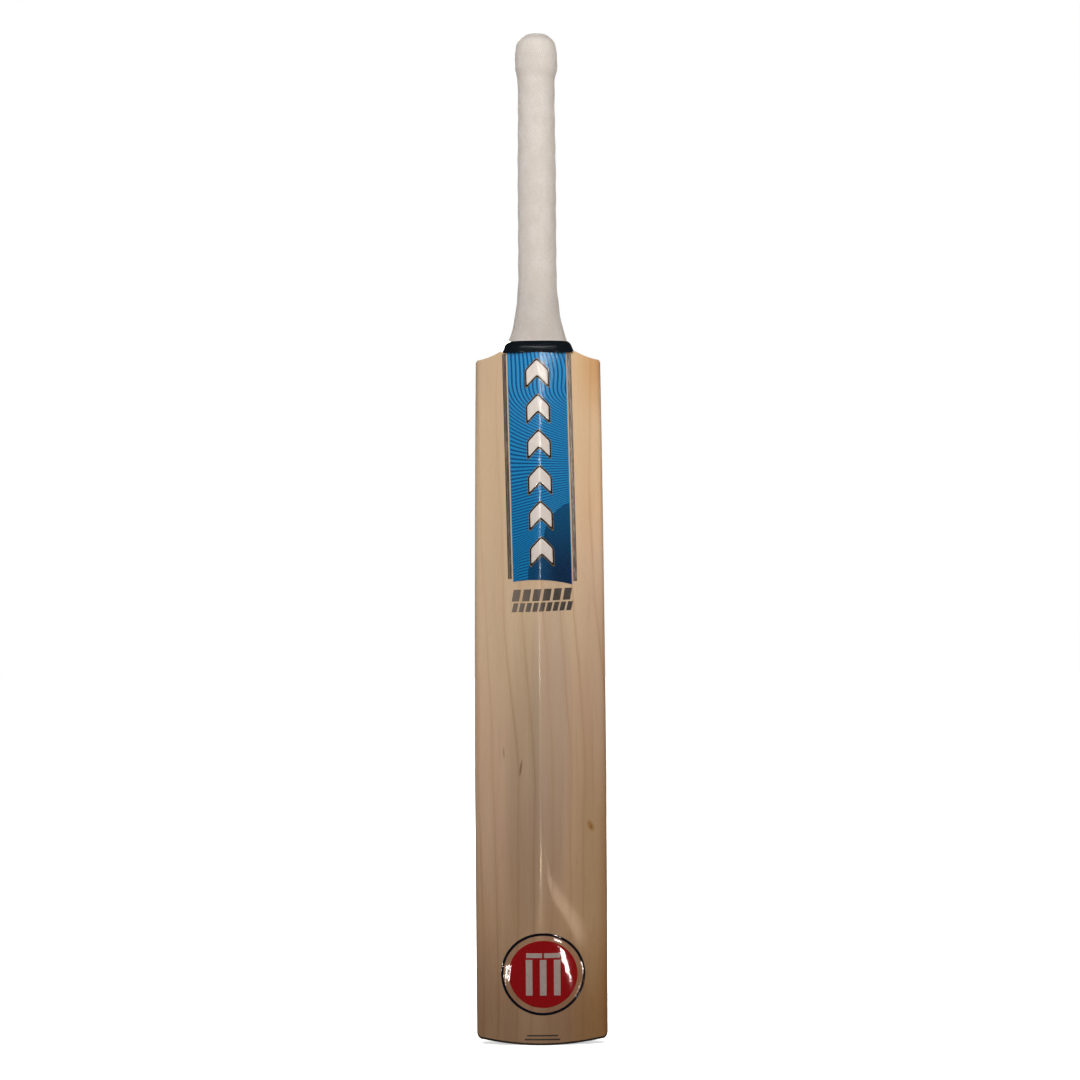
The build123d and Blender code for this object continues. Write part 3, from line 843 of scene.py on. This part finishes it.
def build_dome():
    """The clear resin over the badge: nearly flat on top and rounded down to its rim."""
    target = surface_of("blade", "badge_disc", "badge_ring")
    columns, rings = 120, 22
    verts = []
    for is_top in (True, False):
        for ring in range(rings + 1):
            share = ring / rings
            radius = BADGE_RADIUS * math.sin(share * math.pi / 2) if ring else 0.0
            inward = min(1.0, (BADGE_RADIUS - radius) / DOME_EDGE)
            crown = DOME_CROWN * (1 - (radius / BADGE_RADIUS) ** 2) + DOME_RIM
            height = (DOME_HEIGHT - DOME_CROWN) * math.sqrt(1 - (1 - inward) ** 2) + crown
            for column in range(columns if ring else 1):
                angle = 2 * math.pi * column / columns
                x = BADGE_CENTRE[0] + radius * math.cos(angle)
                z = BADGE_CENTRE[1] + radius * math.sin(angle)
                start = Vector((x * MM, -RAY_START, up(z)))
                hit = target.ray_cast(start, Vector((0, 1, 0)))[0]
                lift = height if is_top else DOME_FOOT
                verts.append(hit + Vector((0, -lift * MM, 0)))
    half = 1 + rings * columns
    faces = []
    for offset, outward in ((0, True), (half, False)):
        for column in range(columns):
            after = (column + 1) % columns
            triangle = (offset, offset + 1 + column, offset + 1 + after)
            faces.append(triangle if outward else triangle[::-1])
        for ring in range(rings - 1):
            for column in range(columns):
                after = (column + 1) % columns
                low, high = offset + 1 + ring * columns, offset + 1 + (ring + 1) * columns
                quad = (low + column, high + column, high + after, low + after)
                faces.append(quad if outward else quad[::-1])
    rim = 1 + (rings - 1) * columns
    for column in range(columns):
        after = (column + 1) % columns
        faces.append((rim + column, half + rim + column, half + rim + after, rim + after))
    dome = piece("badge_resin_dome", verts, faces, "badge_resin", ("badge_dome",), 60.0)
    dome.visible_shadow = False
    return dome


# --- Stage --------------------------------------------------------------------------------------
CAMERA_DISTANCE = 2.25
CAMERA_X = 0.0007
CAMERA_Z = -0.2784
CAMERA_LENS = 90.95
CAMERA_ROLL = math.radians(-0.383)
FLOOR_GAP = 0.0002  # metres from the toe down to the floor


def build_camera():
    data = bpy.data.cameras.new("camera")
    data.lens = CAMERA_LENS
    data.sensor_width = 36.0
    camera = bpy.data.objects.new("camera", data)
    camera.location = (CAMERA_X, -CAMERA_DISTANCE, CAMERA_Z)
    camera.rotation_euler = (math.pi / 2, 0, 0)
    camera.rotation_euler.rotate_axis("Z", CAMERA_ROLL)
    bpy.context.scene.collection.objects.link(camera)
    bpy.context.scene.camera = camera


def area_light(name, place, aim, size, power, colour):
    data = bpy.data.lights.new(name, "AREA")
    data.shape = "RECTANGLE"
    data.size, data.size_y = size
    data.energy = power
    data.color = colour
    light = bpy.data.objects.new(name, data)
    light.location = place
    light.rotation_euler = (Vector(aim) - Vector(place)).to_track_quat("-Z", "Y").to_euler()
    light.visible_camera = False
    bpy.context.scene.collection.objects.link(light)
    return light


def link_light(light, pieces, state="INCLUDE"):
    """Lets a light fall only on some pieces, or on all but them with EXCLUDE."""
    group = bpy.data.collections.new(light.name + "_pieces")
    for target in pieces:
        group.objects.link(target)
    for entry in group.collection_objects:
        entry.light_linking.link_state = state
    light.light_linking.receiver_collection = group


def build_world():
    """White behind the bat, and a dim room of soft light round it."""
    world = bpy.data.worlds.new("studio")
    bpy.context.scene.world = world
    world.use_nodes = True
    tree = world.node_tree
    tree.nodes.clear()
    output = tree.nodes.new("ShaderNodeOutputWorld")
    seen = tree.nodes.new("ShaderNodeBackground")
    seen.inputs["Color"].default_value = (1, 1, 1, 1)
    seen.inputs["Strength"].default_value = 1.0
    room = tree.nodes.new("ShaderNodeBackground")
    room.inputs["Color"].default_value = (0.9, 0.94, 1.0, 1)
    room.inputs["Strength"].default_value = 0.02
    path = tree.nodes.new("ShaderNodeLightPath")
    blend = tree.nodes.new("ShaderNodeMixShader")
    tree.links.new(path.outputs["Is Camera Ray"], blend.inputs[0])
    tree.links.new(room.outputs[0], blend.inputs[1])
    tree.links.new(seen.outputs[0], blend.inputs[2])
    tree.links.new(blend.outputs[0], output.inputs["Surface"])


def build_floor():
    """A pale floor under the toe, with a light of its own so that it stays even."""
    size, cuts = 6.0, 12
    step, stride = 2 * size / cuts, cuts + 1
    verts = [
        (-size + i * step, -size + j * step, TOE - FLOOR_GAP)
        for i in range(stride)
        for j in range(stride)
    ]
    faces = [
        (k, k + stride, k + stride + 1, k + 1)
        for k in range(cuts * stride)
        if k % stride != cuts
    ]
    mesh = bpy.data.meshes.new("floor")
    mesh.from_pydata(verts, [], faces)
    g = Graph("floor_paint")
    point = g.place()[0]
    mottle = g.noise(g.stretched(point, (0.02, 0.02, 0.02)), 4.0, 0.6)
    colour = g.mix(g.remap(mottle, 0.3, 0.7), (0.9, 0.9, 0.9, 1), (0.93, 0.93, 0.925, 1))
    mesh.materials.append(g.principled(Base_Color=colour, Roughness=0.9, Specular_IOR_Level=0.1))
    floor = bpy.data.objects.new("floor", mesh)
    bpy.context.scene.collection.objects.link(floor)
    floor.visible_diffuse = False
    floor.visible_glossy = False
    floor.visible_shadow = False

    for name, energy, shadow in (("floor_light", 1.4, True), ("floor_fill", 3.2, False)):
        data = bpy.data.lights.new(name, "SUN")
        data.energy = energy
        data.angle = math.radians(70.0)
        data.use_shadow = shadow
        sun = bpy.data.objects.new(name, data)
        sun.rotation_euler = (math.radians(12), math.radians(-8), 0)
        sun.visible_camera = False
        bpy.context.scene.collection.objects.link(sun)
        link_light(sun, [floor])


BADGE_NODES = ("badge_ring", "badge_disc", "badge_wicket")
LABEL_NODES = ("label_panel", "label_stripe_left", "label_stripe_right", "caption_marks")
WHITE = (1.0, 0.98, 0.95)
WARM = (1.0, 0.93, 0.84)
COOL = (0.9, 0.95, 1.0)
AMBER = (1.0, 0.8, 0.56)


def build_soft_lights(grip):
    """Soft lights near the handle, so that the tone falls towards the toe as it does by a window."""
    upper, middle, lower = (0.0, 0.0, -0.1), (0.0, 0.0, -0.15), (0.0, 0.0, -0.4)
    soft = [
        area_light("key", (0.10, -0.80, 0.15), upper, (0.5, 0.4), 4.2, WHITE),
        area_light("left_key", (-0.55, -0.80, 0.10), middle, (0.5, 0.5), 4.0, WHITE),
        area_light("overhead", (0.05, -0.55, 0.75), (0.0, 0.0, -0.2), (0.6, 0.4), 2.4, WHITE),
        area_light("right_side", (1.2, -0.5, 0.02), middle, (0.5, 0.7), 3.8, WARM),
        area_light("left_fill", (-1.5, 0.6, -0.45), lower, (0.5, 0.8), 4.0, WHITE),
        area_light("right_fill", (1.5, 0.6, -0.45), lower, (0.5, 0.8), 4.0, WHITE),
        area_light("rear_fill", (0.5, 1.7, -0.1), (0.0, 0.0, -0.3), (0.7, 1.0), 14.0, COOL),
    ]
    for name, x in (("grip_left", -0.8), ("grip_right", 0.8)):
        side = area_light(name, (x, -0.3, 0.05), (0.0, 0.0, 0.0), (0.4, 0.6), 0.7, WHITE)
        link_light(side, [grip])
        soft.append(side)
    shoulder = (0.05, 0.0, -0.16)
    glow = area_light("shoulder_glow", (0.35, -0.25, 0.05), shoulder, (0.2, 0.2), 0.3, AMBER)
    link_light(glow, [nodes["blade"]])
    for light in (*soft, glow):
        light.visible_glossy = False
    area_light("rear_key", (-0.25, 1.9, 0.6), (0.0, 0.0, -0.25), (0.9, 0.9), 32.0, WARM)


def build_gloss_lights(emblems, dome):
    """Lights that show only as reflections, each on its own pieces or on all but the badge."""
    label = [nodes[name] for name in LABEL_NODES] + emblems
    badge = [nodes[name] for name in BADGE_NODES] + [dome]
    foil, band = [nodes["label_stripe_right"]], [nodes["neck_band"]]
    crest, foot, neck = (0.0, 0.0, -0.33), (0.0, 0.0, -0.58), (0.0, 0.0, -0.12)
    foil_top, foil_foot = (0.04, 0.0, -0.13), (0.04, 0.0, -0.27)
    glints = (  # name, place, aim, size, power, colour, turn in degrees, pieces it falls on
        ("window", (0.42, -1.43, 0.05), crest, (0.10, 0.75), 4.2, WHITE, 0, label),
        ("spine_glint", (-0.13, -1.53, -0.33), crest, (0.05, 0.12), 1.6, WHITE, 0, None),
        ("low_glint", (-0.12, -1.44, -1.06), foot, (0.05, 0.12), 5.0, AMBER, 0, None),
        ("low_window", (0.88, -1.15, -1.07), foot, (0.15, 0.025), 0.32, AMBER, 33, None),
        ("right_glint", (0.58, -1.25, -1.24), foot, (0.06, 0.06), 0.4, WHITE, 45, [dome]),
        ("left_glint", (-0.81, -1.14, -1.23), foot, (0.04, 0.11), 0.4, WHITE, 0, [dome]),
        ("upper_foil_glint", (1.16, -0.99, 0.01), foil_top, (0.05, 0.08), 0.8, WHITE, 0, foil),
        ("lower_foil_glint", (0.92, -1.22, -0.17), foil_foot, (0.05, 0.08), 0.8, WHITE, 0, foil),
        ("band_glint", (0.0, -1.38, 0.48), neck, (0.012, 0.08), 0.05, WHITE, 0, band),
    )
    for name, place, aim, size, power, colour, turn, lit in glints:
        light = area_light(name, place, aim, size, power, colour)
        light.rotation_euler.rotate_axis("Z", math.radians(turn))
        light.visible_diffuse = False
        if lit is None:
            link_light(light, badge, "EXCLUDE")
        else:
            link_light(light, lit)


build_camera()
build_world()
build_floor()
dress_frame()
build_soft_lights(build_grip())
build_gloss_lights(build_emblems(), build_dome())
bpy.context.scene.view_settings.view_transform = "Standard"
